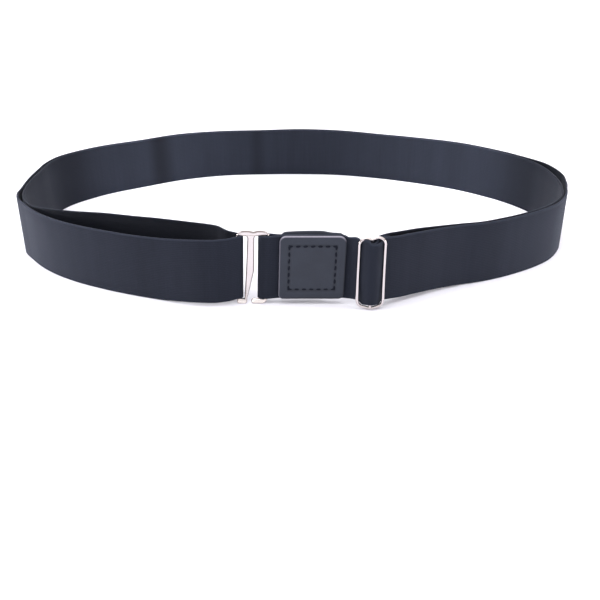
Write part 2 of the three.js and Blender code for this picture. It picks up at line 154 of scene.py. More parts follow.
# Rise of the inner layer's upper edge in front of the left end: size, and where across the loop
# and in front of its middle
INNER_RISE = 0.9 * MM
INNER_RISE_ACROSS = (38 * MM, 66 * MM, 110 * MM, 132 * MM)
INNER_RISE_FORWARD = (36 * MM, 50 * MM)

# Slider
WIRE_SIDES = 20
SLIDER_OFFSET = -0.15 * MM
# A point on the V's side: distance from its bottom, and share of its depth
V_SIDE = (0.9 * MM, 0.62)
# The hump left of the V is the lower one: drop, and the distances aside and heights where that
# sets in
LEFT_HUMP_DROP = 0.5 * MM
LEFT_HUMP_ASIDE = (0.3 * MM, 1.5 * MM)
LEFT_HUMP_HEIGHTS = (25 * MM, 31 * MM)

# Hook clasp
HOOK_ROUNDING = 0.6 * MM
# How far the foot curls forward, and the heights where the curl ends
FOOT_CURL = 2.4 * MM
FOOT_CURL_SPAN = (-1.5 * MM, 2.6 * MM)
# Brown of the punched edges that face up or down, and how much more of it the left ones get as
# painted shade
RIM_TONE = 0.75
RIM_LEFT_SHADE = 0.25
# Upper edge of the clasp's top bar: place from the left and drop from the top
HOOK_CROWN = [
    (0.0 * MM, 1.9 * MM),
    (0.5 * MM, 1.1 * MM),
    (1.3 * MM, 0.5 * MM),
    (2.4 * MM, 0.1 * MM),
    (3.6 * MM, 0.0 * MM),
    (5.3 * MM, 0.0 * MM),
    (6.4 * MM, 0.3 * MM),
    (7.3 * MM, 0.5 * MM),
    (8.2 * MM, 0.3 * MM),
    (9.2 * MM, 0.0 * MM),
    (11.2 * MM, 0.0 * MM),
    (12.4 * MM, 0.25 * MM),
    (13.4 * MM, 0.8 * MM),
    (14.3 * MM, 1.9 * MM),
]

# Patches: ring points, and the corners' radii as shares of the setting from the upper right one
PATCH_RING_CORNER = 8
PATCH_RING_SIDE = 26
PATCH_CORNERS = (1.3, 1.1, 0.8, 0.9)
PATCH_BEVEL = 0.24 * MM
# Relief of the leather: the rim along its edge, the pillow inside the seam and the seam's groove
RIM_RISE = 0.10 * MM
PILLOW_RISE = 0.16 * MM
SEAM_GROOVE = 0.22 * MM
# Where the back patch steps down past the folded strap end, and the bow of its upper edge
BACK_STEP = (3.4 * MM, 8.4 * MM)
BACK_BOW = 1.6 * MM

# Stitches: how deep they lie in the leather, and how far they turn from their row
STITCH_SINK = 0.16 * MM
STITCH_WANDER = math.radians(9)
# Heights of a stitch's ends and crown, in thread radii
STITCH_ENDS = -1.3
STITCH_CROWN = 1.1
# The row through the strap's sewn end
TAIL_STITCHES = 9
TAIL_SEAM_INSET = 1.8 * MM

# The closed front stands a little askew: sideways shift for each unit of height
FRONT_SLANT = 0.033


def lerp(a, b, share):
    return a + (b - a) * share


def smooth_share(value, low, high):
    share = min(1.0, max(0.0, (value - low) / (high - low)))
    return share * share * (3 - 2 * share)


def window(value, begin, full, fade, end):
    """1 from full to fade, easing to 0 towards begin and end."""
    return smooth_share(value, begin, full) * (1 - smooth_share(value, fade, end))


# Sizes and colours

class StrapSettings(bpy.types.PropertyGroup):
    width: bpy.props.FloatProperty(
        name="Width", description="Width of the elastic strap",
        default=30 * MM, unit="LENGTH")
    thickness: bpy.props.FloatProperty(
        name="Thickness", description="Thickness of one layer of strap",
        default=1.2 * MM, unit="LENGTH")
    rib: bpy.props.FloatProperty(
        name="Rib Pitch", description="Distance between the ribs along the strap",
        default=0.85 * MM, unit="LENGTH")
    pick: bpy.props.FloatProperty(
        name="Pick Pitch", description="Distance between the crosswise threads",
        default=0.62 * MM, unit="LENGTH")
    colour: bpy.props.FloatVectorProperty(
        name="Colour", description="Colour of the elastic",
        default=(0.0152, 0.0180, 0.0272), size=3, subtype="COLOR")


class PatchSettings(bpy.types.PropertyGroup):
    corner: bpy.props.FloatProperty(
        name="Corner Radius", description="Radius of the patches' corners",
        default=2.6 * MM, unit="LENGTH")
    thickness: bpy.props.FloatProperty(
        name="Thickness", description="Thickness of one leather patch",
        default=1.2 * MM, unit="LENGTH")
    seam_side: bpy.props.FloatProperty(
        name="Seam Side", description="Side of the stitched square",
        default=20.3 * MM, unit="LENGTH")
    stitches: bpy.props.IntProperty(
        name="Stitches a Side", description="Number of stitches on a side, with the corner ones",
        default=7)
    stitch_length: bpy.props.FloatProperty(
        name="Stitch Length", description="Length of one stitch",
        default=2.1 * MM, unit="LENGTH")
    thread_radius: bpy.props.FloatProperty(
        name="Thread Radius", description="Radius of the sewing thread",
        default=0.48 * MM, unit="LENGTH")
    colour: bpy.props.FloatVectorProperty(
        name="Leather Colour", description="Colour of the leather's face",
        default=(0.0278, 0.0329, 0.0463), size=3, subtype="COLOR")
    # The cut edge's colour is a painted highlight, laid on the front patch's top and left edges
    edge_colour: bpy.props.FloatVectorProperty(
        name="Cut Edge Colour", description="Colour of the leather's cut edge",
        default=(0.28, 0.27, 0.33), size=3, subtype="COLOR")
    thread_colour: bpy.props.FloatVectorProperty(
        name="Thread Colour", description="Colour of the sewing thread",
        default=(0.007, 0.009, 0.015), size=3, subtype="COLOR")


class MetalSettings(bpy.types.PropertyGroup):
    wire: bpy.props.FloatProperty(
        name="Wire Diameter", description="Diameter of the slider's wire",
        default=1.35 * MM, unit="LENGTH")
    corner: bpy.props.FloatProperty(
        name="Upper Corner Radius", description="Radius of the slider's upper corners",
        default=3.0 * MM, unit="LENGTH")
    lower_corner: bpy.props.FloatProperty(
        name="Lower Corner Radius", description="Radius of the slider's lower corners",
        default=3.3 * MM, unit="LENGTH")
    sag: bpy.props.FloatProperty(
        name="Sag", description="Bow of the slider's lower bar",
        default=0.6 * MM, unit="LENGTH")
    notch: bpy.props.FloatProperty(
        name="Notch Depth", description="Depth of the V in the slider's upper bar",
        default=0.95 * MM, unit="LENGTH")
    lean: bpy.props.FloatProperty(
        name="Lean", description="How far the slider's lower end stands forward",
        default=1.5 * MM, unit="LENGTH")
    colour: bpy.props.FloatVectorProperty(
        name="Nickel Colour", description="Colour of the bright plating",
        default=(0.64, 0.59, 0.58), size=3, subtype="COLOR")
    edge_colour: bpy.props.FloatVectorProperty(
        name="Plate Edge Colour", description="Colour of the punched edge of the clasp's plate",
        default=(0.08, 0.05, 0.045), size=3, subtype="COLOR")


class StageSettings(bpy.types.PropertyGroup):
    floor_size: bpy.props.FloatProperty(
        name="Floor Size", description="Side of the square floor",
        default=8.0, unit="LENGTH")
    world_strength: bpy.props.FloatProperty(
        name="World Strength", description="Strength of the even light from all round",
        default=1.5)
    low_sky: bpy.props.FloatVectorProperty(
        name="Low Light Colour", description="Colour of the light from near the horizon",
        default=(0.30, 0.26, 0.26), size=3, subtype="COLOR")
    high_sky: bpy.props.FloatVectorProperty(
        name="High Light Colour", description="Colour of the light from above",
        default=(1.0, 0.99, 1.0), size=3, subtype="COLOR")
    key_power: bpy.props.FloatProperty(
        name="Key Power", description="Power of the soft light above, in watts",
        default=5.0, unit="POWER")


# Materials

def new_material(name):
    made = bpy.data.materials.new(name)
    made.use_nodes = True
    return made, made.node_tree


def plug(tree, source, socket):
    """Links another socket to an input, or gives the input a plain value."""
    if isinstance(source, bpy.types.NodeSocket):
        tree.links.new(source, socket)
    else:
        socket.default_value = source


def put(tree, kind, **values):
    """A node with some of its properties and inputs given; an input's name has its spaces as _."""
    node = tree.nodes.new(kind)
    for name, value in values.items():
        label = name.replace("_", " ")
        if label in node.inputs:
            plug(tree, value, node.inputs[label])
        else:
            setattr(node, name, value)
    return node


def calculate(tree, operation, first, second=None, third=None):
    """A Math node, whose operands are sockets or numbers; gives its output."""
    node = put(tree, "ShaderNodeMath", operation=operation)
    for operand, socket in zip((first, second, third), node.inputs):
        if operand is not None:
            plug(tree, operand, socket)
    return node.outputs[0]


def tint(tree, factor, low_colour, high_colour):
    """Colour between two, by a factor socket."""
    node = put(tree, "ShaderNodeMix", data_type="RGBA", Factor=factor)
    colours = [s for s in node.inputs if s.type == "RGBA"]
    for socket, colour in zip(colours, (low_colour, high_colour)):
        linked = isinstance(colour, bpy.types.NodeSocket)
        plug(tree, colour if linked else (*colour, 1.0), socket)
    return [s for s in node.outputs if s.type == "RGBA"][0]


def mask(tree, name):
    """A mesh attribute as a factor."""
    return put(tree, "ShaderNodeAttribute", attribute_name=name).outputs["Fac"]


def relief(tree, height, strength, distance):
    """The normal of a fine relief."""
    bump = put(tree, "ShaderNodeBump", Strength=strength, Distance=distance, Height=height)
    return bump.outputs[0]


def object_place(tree):
    return tree.nodes.new("ShaderNodeTexCoord").outputs["Object"]


def dress(tree, **values):
    """Gives the material's shader its inputs; an input's name has its spaces as _."""
    shader = tree.nodes["Principled BSDF"]
    for name, value in values.items():
        plug(tree, value, shader.inputs[name.replace("_", " ")])


def shaded(colour, share):
    return tuple(channel * share for channel in colour)


def grain_group():
    """Fine grain with a slow drift over it, for leather, cloth and plated metal alike."""
    name = "fine_grain"
    if name in bpy.data.node_groups:
        return bpy.data.node_groups[name]
    group = bpy.data.node_groups.new(name, "ShaderNodeTree")
    face = group.interface
    face.new_socket("Vector", in_out="INPUT", socket_type="NodeSocketVector")
    for label, value in (("Grain Size", 0.5 * MM), ("Drift Size", 20 * MM)):
        face.new_socket(label, in_out="INPUT", socket_type="NodeSocketFloat").default_value = value
    face.new_socket("Grain", in_out="OUTPUT", socket_type="NodeSocketFloat")
    face.new_socket("Drift", in_out="OUTPUT", socket_type="NodeSocketFloat")
    start = group.nodes.new("NodeGroupInput")
    end = group.nodes.new("NodeGroupOutput")
    for size, detail, result in (("Grain Size", 4.0, "Grain"), ("Drift Size", 2.0, "Drift")):
        scale = calculate(group, "DIVIDE", 1.0, start.outputs[size])
        noise = put(group, "ShaderNodeTexNoise", Detail=detail, Roughness=0.55, Scale=scale,
                    Vector=start.outputs["Vector"])
        group.links.new(noise.outputs[0], end.inputs[result])
    return group


def grain_node(tree, vector, grain_size, drift_size):
    """The fine grain and its slow drift, at two sizes."""
    node = put(tree, "ShaderNodeGroup", node_tree=grain_group(), Vector=vector,
               Grain_Size=grain_size, Drift_Size=drift_size)
    return node.outputs["Grain"], node.outputs["Drift"]


def elastic_material(settings):
    """Matt woven elastic: ribs along it, threads across it, brighter selvedges, and painted shade
    where it folds, is creased, turns and lies between its layers.
    """
    made, tree = new_material("elastic_webbing")
    flat = put(tree, "ShaderNodeUVMap", uv_map="cloth").outputs[0]
    along, across = put(tree, "ShaderNodeSeparateXYZ", Vector=flat).outputs[:2]

    rib = calculate(tree, "DIVIDE", across, settings.rib)
    row = calculate(tree, "FLOOR", rib)
    crown = calculate(tree, "SINE", calculate(tree, "MULTIPLY", rib, math.pi))
    crown = calculate(tree, "ABSOLUTE", crown)
    pick = calculate(tree, "MULTIPLY", along, 2 * math.pi / settings.pick)
    pick = calculate(tree, "SINE", calculate(tree, "MULTIPLY_ADD", row, math.pi, pick))
    weave = calculate(tree, "MULTIPLY_ADD", pick, 0.35, 0.65)
    weave = calculate(tree, "MULTIPLY", weave, crown)

    # Crosswise streaks: noise that is long across the strap and short along it
    streak_place = put(tree, "ShaderNodeMapping", Scale=(1.0, 0.05, 1.0), Vector=flat)
    streak, cloud = grain_node(tree, streak_place.outputs[0], 1.1 * MM, 14 * MM)
    tone = calculate(tree, "MULTIPLY_ADD", streak, 0.34, 0.0)
    tone = calculate(tree, "MULTIPLY_ADD", cloud, 0.42, tone)
    tone = calculate(tree, "MULTIPLY_ADD", weave, 0.30, tone)
    body = tint(tree, tone, shaded(settings.colour, 0.48), shaded(settings.colour, 1.56))

    rise = calculate(tree, "MINIMUM", across, calculate(tree, "SUBTRACT", settings.width, across))
    selvedge = calculate(tree, "LESS_THAN", rise, 0.6 * MM)
    selvedge = calculate(tree, "MULTIPLY", selvedge, 0.55)
    edged = tint(tree, selvedge, body, shaded(settings.colour, 1.75))

    # Painted shade: darker at the folds, creased places, turns and between the layers
    fold = calculate(tree, "MULTIPLY", mask(tree, "crease"), 0.42)
    dress(tree,
          Base_Color=tint(tree, fold, edged, shaded(settings.colour, 0.35)),
          Roughness=calculate(tree, "MULTIPLY_ADD", streak, 0.2, 0.62),
          Normal=relief(tree, weave, 0.55, 0.09 * MM),
          Specular_IOR_Level=0.06,
          Sheen_Weight=0.08,
          Sheen_Roughness=0.45,
          Sheen_Tint=(0.80, 0.84, 1.0, 1.0))
    return made


def leather_material(settings):
    """Smooth satin leather with fine pores, a painted highlight on the cut edge and painted shade
    along the bottom, in the seam and on the other edges.
    """
    made, tree = new_material("patch_leather")
    place = object_place(tree)
    grain, drift = grain_node(tree, place, 0.55 * MM, 9 * MM)
    pores = put(tree, "ShaderNodeTexVoronoi", Scale=1 / (0.7 * MM), Vector=place)
    tone = calculate(tree, "MULTIPLY_ADD", grain, 0.4, calculate(tree, "MULTIPLY", drift, 0.6))
    plain = tint(tree, tone, shaded(settings.colour, 0.68), shaded(settings.colour, 1.32))
    # Painted shade along the bottom, in the seam's groove and on the edges away from the top and
    # left
    face = tint(tree, mask(tree, "pressed"), plain, shaded(settings.colour, 0.45))
    fibre = calculate(tree, "MULTIPLY_ADD", grain, 0.5, 0.6)
    # Painted highlight on the cut edge, along the front patch's top and left
    cut = calculate(tree, "MULTIPLY", mask(tree, "cut_edge"), fibre)
    height = calculate(tree, "MULTIPLY_ADD", pores.outputs["Distance"], 0.5, grain)
    dress(tree,
          Base_Color=tint(tree, cut, face, settings.edge_colour),
          Roughness=calculate(tree, "MULTIPLY_ADD", grain, 0.25, 0.38),
          Normal=relief(tree, height, 0.35, 0.06 * MM),
          Specular_IOR_Level=0.22)
    return made


def thread_material(settings):
    """Dark twisted sewing thread."""
    made, tree = new_material("sewing_thread")
    grain, drift = grain_node(tree, object_place(tree), 0.25 * MM, 3 * MM)
    colour = settings.thread_colour
    dress(tree,
          Base_Color=tint(tree, grain, shaded(colour, 0.7), shaded(colour, 1.5)),
          Normal=relief(tree, calculate(tree, "ADD", grain, drift), 0.5, 0.05 * MM),
          Roughness=0.8,
          Specular_IOR_Level=0.1)
    return made


def nickel_material(settings):
    """Bright warm nickel plate with faint handling marks and browner punched edges, browner on the
    left as painted shade.
    """
    made, tree = new_material("bright_nickel")
    grain, drift = grain_node(tree, object_place(tree), 0.9 * MM, 7 * MM)
    worn = tint(tree, drift, shaded(settings.colour, 0.93), settings.colour)
    rim = mask(tree, "rim")
    marks = calculate(tree, "MULTIPLY_ADD", grain, 0.12, 0.10)
    dress(tree,
          Base_Color=tint(tree, rim, worn, settings.edge_colour),
          Roughness=calculate(tree, "MULTIPLY_ADD", rim, 0.5, marks),
          Normal=relief(tree, calculate(tree, "ADD", grain, drift), 0.12, 0.03 * MM),
          Metallic=calculate(tree, "MULTIPLY_ADD", rim, -0.9, 1.0))
    return made


def floor_material():
    """Matt white paper."""
    made, tree = new_material("white_paper")
    drift = grain_node(tree, object_place(tree), 4 * MM, 0.6)[1]
    cloud = calculate(tree, "MULTIPLY", drift, 0.3)
    dress(tree,
          Base_Color=tint(tree, cloud, (0.90, 0.90, 0.97), (0.88, 0.88, 0.955)),
          Roughness=0.9,
          Specular_IOR_Level=0.1)
    return made


def shared_material(name, maker, settings):
    return bpy.data.materials.get(name) or maker(settings)


# Meshes

def link_object(name, mesh):
    made = bpy.data.objects.new(name, mesh)
    bpy.context.scene.collection.objects.link(made)
    return made


def shade(mesh, smooth=True):
    mesh.polygons.foreach_set("use_smooth", [smooth] * len(mesh.polygons))


def mesh_from(name, points, faces, smooth=True):
    mesh = bpy.data.meshes.new(name)
    mesh.from_pydata([tuple(p) for p in points], [], faces)
    mesh.update()
    shade(mesh, smooth)
    return mesh


def path_object(name, points, edges):
    """An object of edges only, for a tree to follow."""
    mesh = bpy.data.meshes.new(name)
    mesh.from_pydata([tuple(p) for p in points], edges, [])
    return link_object(name, mesh)


def ring_faces(count, size):
    """Four-sided faces between rings of points that follow one another."""
    return [
        (i * size + k, i * size + (k + 1) % size,
         (i + 1) * size + (k + 1) % size, (i + 1) * size + k)
        for i in range(count - 1) for k in range(size)]


def face_outwards(mesh, weld=True):
    """Turns every face outwards, after merging doubled points."""
    work = bmesh.new()
    work.from_mesh(mesh)
    if weld:
        bmesh.ops.remove_doubles(work, verts=work.verts, dist=WELD)
    bmesh.ops.recalc_face_normals(work, faces=work.faces)
    work.to_mesh(mesh)
    work.free()
    mesh.update()


def attribute(mesh, name, values):
    layer = mesh.attributes.new(name, "FLOAT", "POINT")
    layer.data.foreach_set("value", values)


def baked(piece):
    """A plain mesh object with the piece's evaluated shape and its name; the piece itself goes."""
    graph = bpy.context.evaluated_depsgraph_get()
    mesh = bpy.data.meshes.new_from_object(piece.evaluated_get(graph))
    name = piece.name
    old = piece.data
    bpy.data.objects.remove(piece)
    if old.users == 0:
        (bpy.data.curves if isinstance(old, bpy.types.Curve) else bpy.data.meshes).remove(old)
    mesh.name = name
    return link_object(name, mesh)


def askew(point):
    """A point of the closed front at its sideways shift, which fades to the sides and the back."""
    share = window(point.x, HOOK_LOW.x - 30 * MM, HOOK_LOW.x, PATCH_X + 12 * MM, SLIDER_X)
    share *= 1 - smooth_share(point.y, HOOK_Y + 5 * MM, HOOK_Y + 20 * MM)
    return point + Vector((FRONT_SLANT * share * (point.z - PATCH_Z), 0, 0))


def settle(piece, replaced=()):
    """The last step of every piece: its slant and body, and the nodes that it stands for."""
    for vertex in piece.data.vertices:
        vertex.co = askew(vertex.co)
    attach(piece, BODY)
    if replaced:
        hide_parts(*replaced)


# Geometry Nodes

class TreeBuilder:
    """A Geometry Nodes tree under construction, with named inputs."""

    def __init__(self, name, inputs):
        self.tree = bpy.data.node_groups.new(name, "GeometryNodeTree")
        face = self.tree.interface
        face.new_socket("Geometry", in_out="INPUT", socket_type="NodeSocketGeometry")
        for label, kind in inputs:
            face.new_socket(label, in_out="INPUT", socket_type=kind)
        face.new_socket("Geometry", in_out="OUTPUT", socket_type="NodeSocketGeometry")
        self.given = self.tree.nodes.new("NodeGroupInput").outputs
        self.end = self.tree.nodes.new("NodeGroupOutput")

    def node(self, kind, **values):
        """The first output of a new node."""
        return put(self.tree, kind, **values).outputs[0]

    def times(self, source, factor):
        return calculate(self.tree, "MULTIPLY", source, factor)

    def finish(self, geometry, material):
        real = self.node("GeometryNodeRealizeInstances", Geometry=geometry)
        dressed = self.node("GeometryNodeSetMaterial", Geometry=real, Material=material)
        self.tree.links.new(dressed, self.end.inputs[0])
        return self.tree


def run_tree(piece, tree, values):
    """Runs a tree on a piece with its inputs set by their identifiers, and gives the plain mesh."""
    modifier = piece.modifiers.new(tree.name, "NODES")
    modifier.node_group = tree
    sockets = {
        s.name: s.identifier for s in tree.interface.items_tree
        if s.item_type == "SOCKET" and s.in_out == "INPUT"}
    for label, value in values.items():
        modifier[sockets[label]] = value
    return baked(piece)


def wire_tree():
    """Round wire along the piece's edges."""
    name = "bent_wire"
    if name in bpy.data.node_groups:
        return bpy.data.node_groups[name]
    build = TreeBuilder(name, [
        ("Wire Diameter", "NodeSocketFloat"),
        ("Sides", "NodeSocketInt"),
        ("Metal", "NodeSocketMaterial"),
    ])
    given = build.given
    path = build.node("GeometryNodeMeshToCurve", Mesh=given["Geometry"])
    ring = build.node("GeometryNodeCurvePrimitiveCircle", Resolution=given["Sides"],
                      Radius=build.times(given["Wire Diameter"], 0.5))
    tube = build.node("GeometryNodeCurveToMesh", Curve=path, Profile_Curve=ring, Fill_Caps=True)
    return build.finish(tube, given["Metal"])


def stitch_tree():
    """Arched stitches, evenly spaced along each of the piece's edges."""
    name = "sewn_stitches"
    if name in bpy.data.node_groups:
        return bpy.data.node_groups[name]
    build = TreeBuilder(name, [
        ("Stitches", "NodeSocketInt"),
        ("Stitch Length", "NodeSocketFloat"),
        ("Thread Radius", "NodeSocketFloat"),
        ("Facing", "NodeSocketVector"),
        ("Wander", "NodeSocketFloat"),
        ("Seed", "NodeSocketInt"),
        ("Thread", "NodeSocketMaterial"),
    ])
    given = build.given
    path = build.node("GeometryNodeMeshToCurve", Mesh=given["Geometry"])
    spaced = build.node("GeometryNodeResampleCurve", Curve=path, Count=given["Stitches"])
    # One stitch: an arch with its ends sunk in
    half = build.times(given["Stitch Length"], 0.5)
    sunk = build.times(given["Thread Radius"], STITCH_ENDS)
    crown = build.times(given["Thread Radius"], STITCH_CROWN)
    arch = build.node(
        "GeometryNodeCurveQuadraticBezier", Resolution=6,
        Start=build.node("ShaderNodeCombineXYZ", X=build.times(half, -1.0), Z=sunk),
        Middle=build.node("ShaderNodeCombineXYZ", Z=crown),
        End=build.node("ShaderNodeCombineXYZ", X=half, Z=sunk))
    ring = build.node("GeometryNodeCurvePrimitiveCircle", Resolution=8,
                      Radius=given["Thread Radius"])
    stitch = build.node("GeometryNodeCurveToMesh", Curve=arch, Profile_Curve=ring, Fill_Caps=True)
    # Each lies along the seam with its arch outwards, and a little turned
    along = build.node("FunctionNodeAlignRotationToVector", axis="X",
                       Vector=build.node("GeometryNodeInputTangent"))
    upright = build.node("FunctionNodeAlignRotationToVector", axis="Z", pivot_axis="X",
                         Rotation=along, Vector=given["Facing"])
    chance = put(build.tree, "FunctionNodeRandomValue", data_type="FLOAT", Seed=given["Seed"])
    limits = {s.name: s for s in chance.inputs if s.type == "VALUE"}
    plug(build.tree, build.times(given["Wander"], -1.0), limits["Min"])
    plug(build.tree, given["Wander"], limits["Max"])
    angle = [s for s in chance.outputs if s.type == "VALUE"][0]
    turn = build.node("FunctionNodeAxisAngleToRotation", Axis=(0.0, 0.0, 1.0), Angle=angle)
    turned = build.node("FunctionNodeRotateRotation", rotation_space="LOCAL",
                        Rotation=upright, Rotate_By=turn)
    sewn = build.node("GeometryNodeInstanceOnPoints", Points=spaced, Instance=stitch,
                      Rotation=turned)
    return build.finish(sewn, given["Thread"])


# Strap

def strap_stations():
    """Lower and upper middle of each cross-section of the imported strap, in order along it."""
    work = bmesh.new()
    work.from_mesh(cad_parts["elastic_strap"].data)
    bmesh.ops.remove_doubles(work, verts=work.verts, dist=WELD)
    fewest = min(len(v.link_edges) for v in work.verts)
    ends = [v for v in work.verts if len(v.link_edges) == fewest]
    start = min(ends, key=lambda v: v.co.x)
    nearest = sorted(work.verts, key=lambda v: (v.co.xy - start.co.xy).length)
    rings = [set(nearest[:RING_CORNERS])]
    seen = set(rings[0])
    while True:
        following = {e.other_vert(v) for v in rings[-1] for e in v.link_edges} - seen
        if not following:
            break
        if len(following) != RING_CORNERS:
            raise RuntimeError("the strap's packed mesh is not one row of cross-sections")
        seen |= following
        rings.append(following)
    stations = []
    for ring in rings:
        corners = sorted((v.co.copy() for v in ring), key=lambda c: c.z)
        stations.append(((corners[0] + corners[1]) / 2, (corners[2] + corners[3]) / 2))
    work.free()
    return stations


def between(before, start, end, after, share):
    """Point between start and end on the smooth curve through four points."""
    knots = [0.0]
    for a, b in ((before, start), (start, end), (end, after)):
        knots.append(knots[-1] + max((b - a).length, WELD) ** 0.5)
    t = lerp(knots[1], knots[2], share)

    def blend(a, b, low, high):
        return lerp(a, b, (t - low) / (high - low))

    ab = blend(before, start, knots[0], knots[1])
    bc = blend(start, end, knots[1], knots[2])
    cd = blend(end, after, knots[2], knots[3])
    return blend(blend(ab, bc, knots[0], knots[2]), blend(bc, cd, knots[1], knots[3]),
                 knots[1], knots[2])


def smooth_route(stations):
    """The stations with more between them, on one smooth curve for each edge."""
    route = []
    last = len(stations) - 1
    for i in range(last):
        four = [stations[max(0, min(last, i + k))] for k in (-1, 0, 1, 2)]
        length = (four[2][0] - four[1][0]).length
        count = max(2, math.ceil(length / STRAP_STEP))
        for k in range(count):
            share = k / count
            route.append(tuple(between(*(s[edge] for s in four), share) for edge in (0, 1)))
    route.append(stations[last])
    return route


def in_slider(low, high, wire):
    """The strap's edges at the slider. The roll over the centre bar hangs low at its foot, draws in
    at the slot's upper corners and stands up left of the V. Away from the roll the upper edge
    sinks beside the patch, rises towards the slider and shows behind its right half."""
    middle = (low + high) / 2
    across, depth = middle.x, middle.y
    aside = abs(across - SLIDER_X)
    in_front = 1 - smooth_share(depth, SLIDER_Y - wire, SLIDER_Y + 1.5 * wire)
    near_slider = 1 - smooth_share(depth, SLIDER_Y + 8 * MM, SLIDER_Y + 12 * MM)

    sides = smooth_share(aside, *ROLL_SIDES[:2])
    foot = (ROLL_FOOT_DROP + ROLL_SIDE_DROP * sides) * (1 - smooth_share(aside, *ROLL_SIDES[2:]))
    stand = ROLL_STAND if across < SLIDER_X else 0.0
    drop = ROLL_CORNER_DROP * window(aside, *ROLL_CORNERS) - stand * window(aside, *ROLL_BESIDE_V)
    drop *= in_front

    beside_patch = window(across, FRONT_HIGH.x - 1 * MM, FRONT_HIGH.x + 1 * MM,
                          SLIDER_LOW.x, SLIDER_LOW.x + 1.5 * MM)
    to_slider = smooth_share(across, FRONT_HIGH.x + 0.5 * MM, SLIDER_LOW.x)
    beside = lerp(BESIDE_PATCH_DROP, BESIDE_SLIDER_DROP, to_slider)
    drop += beside * beside_patch * near_slider

    behind = window(across, SLIDER_X + 0.2 * MM, SLIDER_X + 2 * MM,
                    SLIDER_HIGH.x - 2 * MM, SLIDER_HIGH.x + 8 * MM)
    drop -= BEHIND_SLIDER_RISE * behind * (1 - in_front) * near_slider
    return low - Vector((0, 0, foot * in_front)), high - Vector((0, 0, drop))


def at_ends(low, high, layer):
    """The small shifts of a layer where it turns at the loop's ends, and the rise of the inner
    one's upper edge in front of the left end."""
    middle = (low + high) / 2
    forward = -middle.y
    shift = sum(
        size * window(forward, *span) * smooth_share(side * middle.x, *END_SPAN)
        for kind, side, span, size in END_SHIFTS if kind == layer)
    rise = 0.0
    if layer == "inner":
        rise = INNER_RISE * window(-middle.x, *INNER_RISE_ACROSS)
        rise *= smooth_share(forward, *INNER_RISE_FORWARD)
    return low + Vector((shift, 0, 0)), high + Vector((shift, 0, rise))


def painted_shade_at(point, layer):
    """How much painted shade the strap gets where it folds round the clasp's bars, is creased or
    turns.
    """
    if point.y < 0:
        beside = min(abs(point.x - fold) for fold in CLASP_FOLDS)
        depth = FOLD_SHADE * (1 - smooth_share(beside, *FOLD_FADE))
    else:
        depth = max(deep * (1 - smooth_share(abs(point.x - x), half - soft, half + soft))
                    for x, half, soft, deep in CREASE_SHADES)
    if layer == "inner":
        depth = max(depth, END_SHADE * smooth_share(abs(point.x), *END_FADE))
    return depth


def section_profile(settings):
    """One cross-section: sideways share, whether measured from the upper edge, and rise."""
    count = STRAP_BODY_ROWS
    first = SELVEDGE[-1][0]
    body = [(lerp(first, settings.width - first, k / (count + 1)), 1.0)
            for k in range(1, count + 1)]
    side = [(share, False, rise) for rise, share in SELVEDGE + body]
    side += [(share, True, rise) for rise, share in reversed(SELVEDGE)]
    return side + [(-share, top, rise) for share, top, rise in reversed(side[1:-1])]


def make_strap(settings, metal):
    """The strap from its end between the patches: the outer layer, then the inner one."""
    route = [in_slider(low, high, metal.wire) for low, high in smooth_route(strap_stations())]
    turn = min(range(len(route)), key=lambda i: (route[i][0].xy - Vector(LEFT_FOLD)).length)
    layers = ["outer" if i < turn else "inner" for i in range(len(route))]
    route = [at_ends(low, high, layer) for (low, high), layer in zip(route, layers)]
    middles = [(low + high) / 2 for low, high in route]
    profile = section_profile(settings)
    points = []
    flat = []
    painted_shades = []
    length = 0.0
    last = len(route) - 1
    for i, (low, high) in enumerate(route):
        before, after = route[max(0, i - 1)], route[min(last, i + 1)]
        along = ((after[0] + after[1]) - (before[0] + before[1])).xy.normalized()
        outward = Vector((-along.y, along.x, 0))
        middle = middles[i]
        if i:
            length += (middle - middles[i - 1]).length
        rise_axis = (high - low).normalized()
        tall = (high - low).length
        crease = painted_shade_at(middle, layers[i])
        # From the clasp to the slider only one layer is there
        single = middle.y < HOOK_Y + 4 * MM and CLASP_FOLDS[0] < middle.x < SLIDER_HIGH.x
        for share, from_top, rise in profile:
            height = tall - rise if from_top else rise * min(1.0, tall / settings.width)
            points.append(low + rise_axis * height + outward * (share * settings.thickness / 2))
            flat.append((length, height * settings.width / tall))
            # Painted shade: the faces between the two layers are darker, the rest take the shade at
            # folds, creased places and turns
            painted_shades.append(BETWEEN_LAYERS_SHADE if share > 0 and not single else crease)
    size = len(profile)
    faces = ring_faces(len(route), size)
    faces += [tuple(range(size)), tuple(last * size + k for k in reversed(range(size)))]
    mesh = mesh_from("strap_webbing", points, faces)
    cloth = mesh.uv_layers.new(name="cloth")
    for loop in mesh.loops:
        cloth.data[loop.index].uv = flat[loop.vertex_index]
    attribute(mesh, "crease", painted_shades)
    face_outwards(mesh, weld=False)
    mesh.materials.append(shared_material("elastic_webbing", elastic_material, settings))
    return link_object("strap_webbing", mesh)


# Slider

def arc(centre_x, centre_z, radius, start, end, steps):
    """Points of an arc in the XZ plane; the angles are in degrees."""
    points = []
    for k in range(steps + 1):
        angle = math.radians(lerp(start, end, k / steps))
        points.append((centre_x + radius * math.cos(angle), centre_z + radius * math.sin(angle)))
    return points


